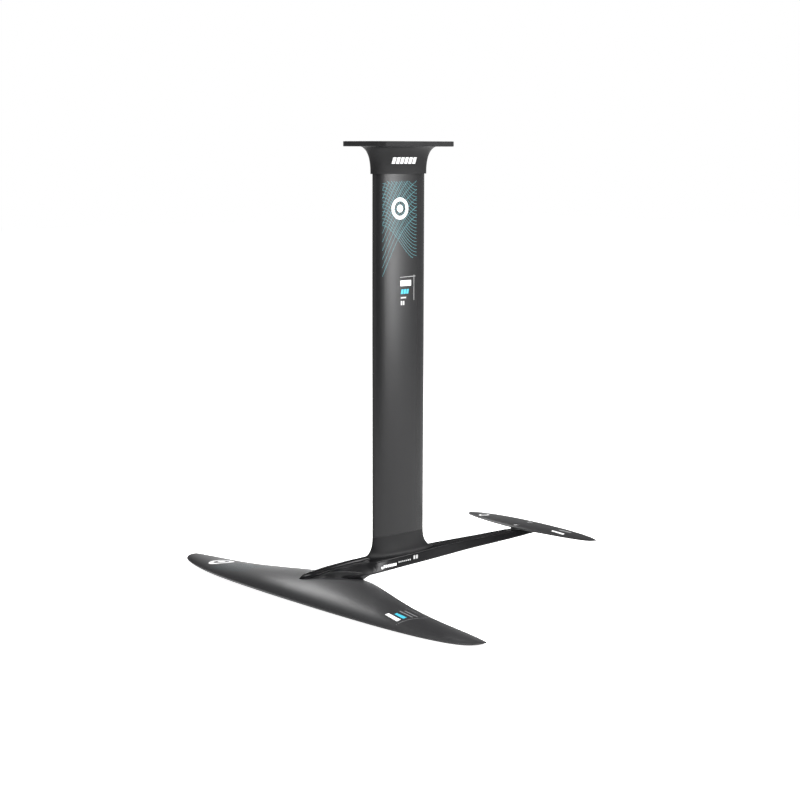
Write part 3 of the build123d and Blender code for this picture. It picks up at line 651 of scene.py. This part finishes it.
class Film:
    """Collects strips, each a run of point pairs in the flat, and lays them all on one surface."""

    def __init__(self, tree, start, direction):
        self.tree = tree
        self.start = start
        self.direction = Vector(direction)
        self.points = []
        self.faces = []

    def lay(self, u, v):
        hit, normal, _, _ = self.tree.ray_cast(self.start(u, v), self.direction)
        if hit is None:
            return None
        if normal.dot(self.direction) > 0:
            normal = -normal
        return hit, normal

    def strip(self, pairs, across=1, closed=False):
        rows = []
        for (ua, va), (ub, vb) in pairs:
            row = [self.lay(ua + (ub - ua) * k / across, va + (vb - va) * k / across)
                   for k in range(across + 1)]
            if None in row:
                return
            rows.append(row)
        wide = across + 1
        base = len(self.points)
        for lift in (FILM_LIFT, -FILM_SINK):
            self.points += [place + normal * lift for row in rows for place, normal in row]
        low = base + len(rows) * wide
        count = len(rows) if closed else len(rows) - 1
        for r in range(count):
            here, after = r * wide, (r + 1) % len(rows) * wide
            for k in range(across):
                quad = (here + k, here + k + 1, after + k + 1, after + k)
                self.faces.append(tuple(base + i for i in quad))
                self.faces.append(tuple(low + i for i in reversed(quad)))
            for k, flip in ((0, False), (across, True)):
                wall = (base + here + k, base + after + k, low + after + k, low + here + k)
                self.faces.append(tuple(reversed(wall)) if flip else wall)
        if not closed:
            for r, flip in ((0, True), (len(rows) - 1, False)):
                start = r * wide
                for k in range(across):
                    wall = (base + start + k, base + start + k + 1, low + start + k + 1, low + start + k)
                    self.faces.append(wall if flip else tuple(reversed(wall)))

    def bar(self, corners, along=8, across=4):
        """A four-cornered bar, corners in order round it."""
        a, b, c, d = corners
        pairs = []
        for k in range(along + 1):
            t = k / along
            pairs.append(((a[0] + (b[0] - a[0]) * t, a[1] + (b[1] - a[1]) * t),
                          (d[0] + (c[0] - d[0]) * t, d[1] + (c[1] - d[1]) * t)))
        self.strip(pairs, across)

    def ring(self, u, v, outer, inner, stretch=1.0):
        pairs = []
        for k in range(48):
            turn = 2 * math.pi * k / 48
            c, s = math.cos(turn), math.sin(turn)
            pairs.append(((u + inner * stretch * c, v + inner * s), (u + outer * stretch * c, v + outer * s)))
        self.strip(pairs, 2, True)

    def line(self, places, width):
        pairs = []
        for k, (u, v) in enumerate(places):
            before, after = places[max(0, k - 1)], places[min(len(places) - 1, k + 1)]
            du, dv = after[0] - before[0], after[1] - before[1]
            size = math.hypot(du, dv)
            nu, nv = -dv / size * width / 2, du / size * width / 2
            pairs.append(((u - nu, v - nv), (u + nu, v + nv)))
        self.strip(pairs)

    def piece(self, name, material):
        mesh = bpy.data.meshes.new(name)
        mesh.from_pydata(self.points, [], self.faces)
        repair = bmesh.new()
        repair.from_mesh(mesh)
        bmesh.ops.recalc_face_normals(repair, faces=repair.faces)
        repair.to_mesh(mesh)
        repair.free()
        return new_piece(name, mesh, material)


def side_film(tree, side):
    """Film on an upright face: u is x and v is z."""
    return Film(tree, lambda u, v: Vector((u, side * 0.2, v)), (0, -side, 0))


def top_film(tree):
    """Film on an upper face: u is x and v is y."""
    return Film(tree, lambda u, v: Vector((u, v, 0.1)), (0, 0, -1))


# %% Lattice on the mast
MAST_TREE = tree_of(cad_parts["mast"])
PATCH_FRONT_X, PATCH_REAR_X = 0.047, -0.041
PATCH_TOP_Z = -0.0765
MAST_LATTICE_WIDTH = 0.55 * MM


def patch_line(film, height, width, low_rear=-0.224, low_front=-0.262):
    """One line across the patch, up to its top; height(t) is its z at a share t from the front edge."""
    places = []
    for k in range(61):
        t = k / 60
        z = height(t)
        floor_z = low_front + (low_rear - low_front) * t
        if floor_z - 0.5 * MM <= z <= PATCH_TOP_Z:
            places.append((PATCH_FRONT_X + (PATCH_REAR_X - PATCH_FRONT_X) * t, z))
        elif len(places) > 2:
            break
        else:
            places = []
    if len(places) > 2:
        film.line(places, width)


def lattice(name, side):
    film = side_film(MAST_TREE, side)
    for k in range(16):
        start = -0.262 + 0.0168 * k
        patch_line(film, lambda t: start + 0.118 * t + 0.02 * math.sin(math.pi * t), MAST_LATTICE_WIDTH)
    for k in range(22):
        start = -0.020 - 0.0068 * k
        patch_line(film, lambda t: start - 0.068 * (3 * t * t - 2 * t ** 3), MAST_LATTICE_WIDTH)
    return film.piece(name, TEAL_INK)


for side_name, side in (("port", 1), ("starboard", -1)):
    piece = lattice("mast_lattice_" + side_name, side)
    print(piece.name, len(piece.data.polygons), "faces")


# %% Emblem, label and name bar on each side of the mast, collar and fuselage
PLATE_TREE = tree_of(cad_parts["top_plate"])
MAST_EMBLEM = (0.0035, -0.1305)
RULE_WIDTH = 0.8 * MM


def slanted_bars(film, u_start, u_end, v_low, v_high, count, gap_share=0.22, slant=0.2):
    """A run of plain slanted blocks that stands in for a name."""
    pitch = (u_end - u_start) / count
    for k in range(count):
        a = u_start + pitch * k
        b = a + pitch * (1 - gap_share)
        lean = (v_high - v_low) * slant * (1 if pitch > 0 else -1)
        film.bar([(a, v_low), (b, v_low), (b + lean, v_high), (a + lean, v_high)], 2, 3)


def mast_marks(side_name, side):
    white = side_film(MAST_TREE, side)
    white.ring(*MAST_EMBLEM, 21.5 * MM, 14.5 * MM)
    white.ring(*MAST_EMBLEM, 7.5 * MM, 0.2 * MM)
    white.bar([(0.002, -0.272), (-0.026, -0.272), (-0.026, -0.283), (0.002, -0.283)])
    white.piece("mast_white_marks_" + side_name, WHITE_INK)
    cyan = side_film(MAST_TREE, side)
    slanted_bars(cyan, 0.001, -0.020, -0.2985, -0.2895, 3)
    cyan.piece("mast_cyan_mark_" + side_name, CYAN_INK)
    grey = side_film(MAST_TREE, side)
    grey.bar([(0.001, -0.3045), (-0.013, -0.3045), (-0.013, -0.3075), (0.001, -0.3075)])
    slanted_bars(grey, 0.001, -0.010, -0.3205, -0.3125, 2, 0.3, 0.0)
    grey.line([(0.003 - 0.041 * k / 8, -0.2655 + 0.001 * k / 8) for k in range(9)], RULE_WIDTH)
    grey.line([(-0.034, -0.262 - 0.050 * k / 10) for k in range(11)], RULE_WIDTH)
    grey.piece("mast_grey_marks_" + side_name, PALE_GREY_INK)


def collar_mark(side_name, side):
    film = side_film(PLATE_TREE, side)
    slanted_bars(film, 0.029, -0.034, -0.0435, -0.031, 6)
    film.piece("collar_mark_" + side_name, WHITE_INK)


def fuselage_mark(side_name, side):
    film = side_film(FUSELAGE_TREE, side)
    slanted_bars(film, 0.063, 0.027, -0.8393, -0.8342, 7, 0.3)
    film.ring(0.0665, -0.8385, 2.6 * MM, 1.3 * MM)
    film.piece("fuselage_mark_" + side_name, WHITE_INK)
    small = side_film(FUSELAGE_TREE, side)
    slanted_bars(small, 0.022, -0.014, -0.8350, -0.8325, 7, 0.4)
    slanted_bars(small, -0.020, -0.034, -0.8345, -0.8275, 2, 0.3)
    small.piece("fuselage_small_mark_" + side_name, PALE_GREY_INK)


for side_name, side in (("port", 1), ("starboard", -1)):
    mast_marks(side_name, side)
    collar_mark(side_name, side)
    fuselage_mark(side_name, side)

# %% Marks on the wings' upper skins
WING_TREE = tree_of(front_wing)
STAB_TREE = tree_of(stabiliser)
WING_LATTICE_WIDTH = 0.5 * MM
WING_EMBLEM = (0.215, -0.312)


def wing_marks():
    white = top_film(WING_TREE)
    white.bar([(0.244, 0.248), (0.233, 0.246), (0.235, 0.282), (0.246, 0.284)], 8, 4)
    white.ring(*WING_EMBLEM, 25 * MM, 16 * MM, 1.1)
    white.ring(*WING_EMBLEM, 8 * MM, 0.3 * MM, 1.1)
    white.piece("wing_white_marks", WHITE_INK)
    cyan = top_film(WING_TREE)
    cyan.bar([(0.227, 0.255), (0.217, 0.250), (0.217, 0.278), (0.228, 0.281)], 8, 4)
    cyan.piece("wing_cyan_mark", CYAN_INK)
    grey = top_film(WING_TREE)
    for x in (0.205, 0.193):
        grey.bar([(x, 0.243), (x - 0.003, 0.243), (x - 0.002, 0.280), (x + 0.001, 0.280)], 2, 8)
    grey.line([(0.255 - 0.079 * k / 12, 0.293 - 0.006 * math.sin(math.pi / 2 * k / 12))
               for k in range(13)], RULE_WIDTH)
    grey.line([(0.176 - 0.002 * math.sin(math.pi * k / 8), 0.226 + 0.043 * k / 8)
               for k in range(9)], RULE_WIDTH)
    grey.piece("wing_grey_marks", GREY_INK)
    faint = top_film(WING_TREE)
    for k in range(24):
        y = -0.155 - 0.0105 * k
        faint.line([(0.200 + 0.070 * i / 14, y - 0.018 * math.sin(math.pi * i / 28))
                    for i in range(15)], WING_LATTICE_WIDTH)
        faint.line([(0.270 - 0.070 * i / 14, y - 0.022 * (i / 14)) for i in range(15)], WING_LATTICE_WIDTH)
    faint.piece("wing_lattice", DULL_TEAL_INK)


def stabiliser_marks():
    white = top_film(STAB_TREE)
    white.ring(-0.366, -0.133, 11 * MM, 7 * MM, 1.1)
    white.bar([(-0.352, 0.087), (-0.359, 0.085), (-0.360, 0.119), (-0.352, 0.122)], 6, 3)
    white.piece("stabiliser_white_marks", WHITE_INK)
    grey = top_film(STAB_TREE)
    grey.bar([(-0.374, 0.089), (-0.377, 0.088), (-0.382, 0.117), (-0.379, 0.118)], 6, 3)
    grey.piece("stabiliser_grey_mark", PALE_GREY_INK)


wing_marks()
stabiliser_marks()
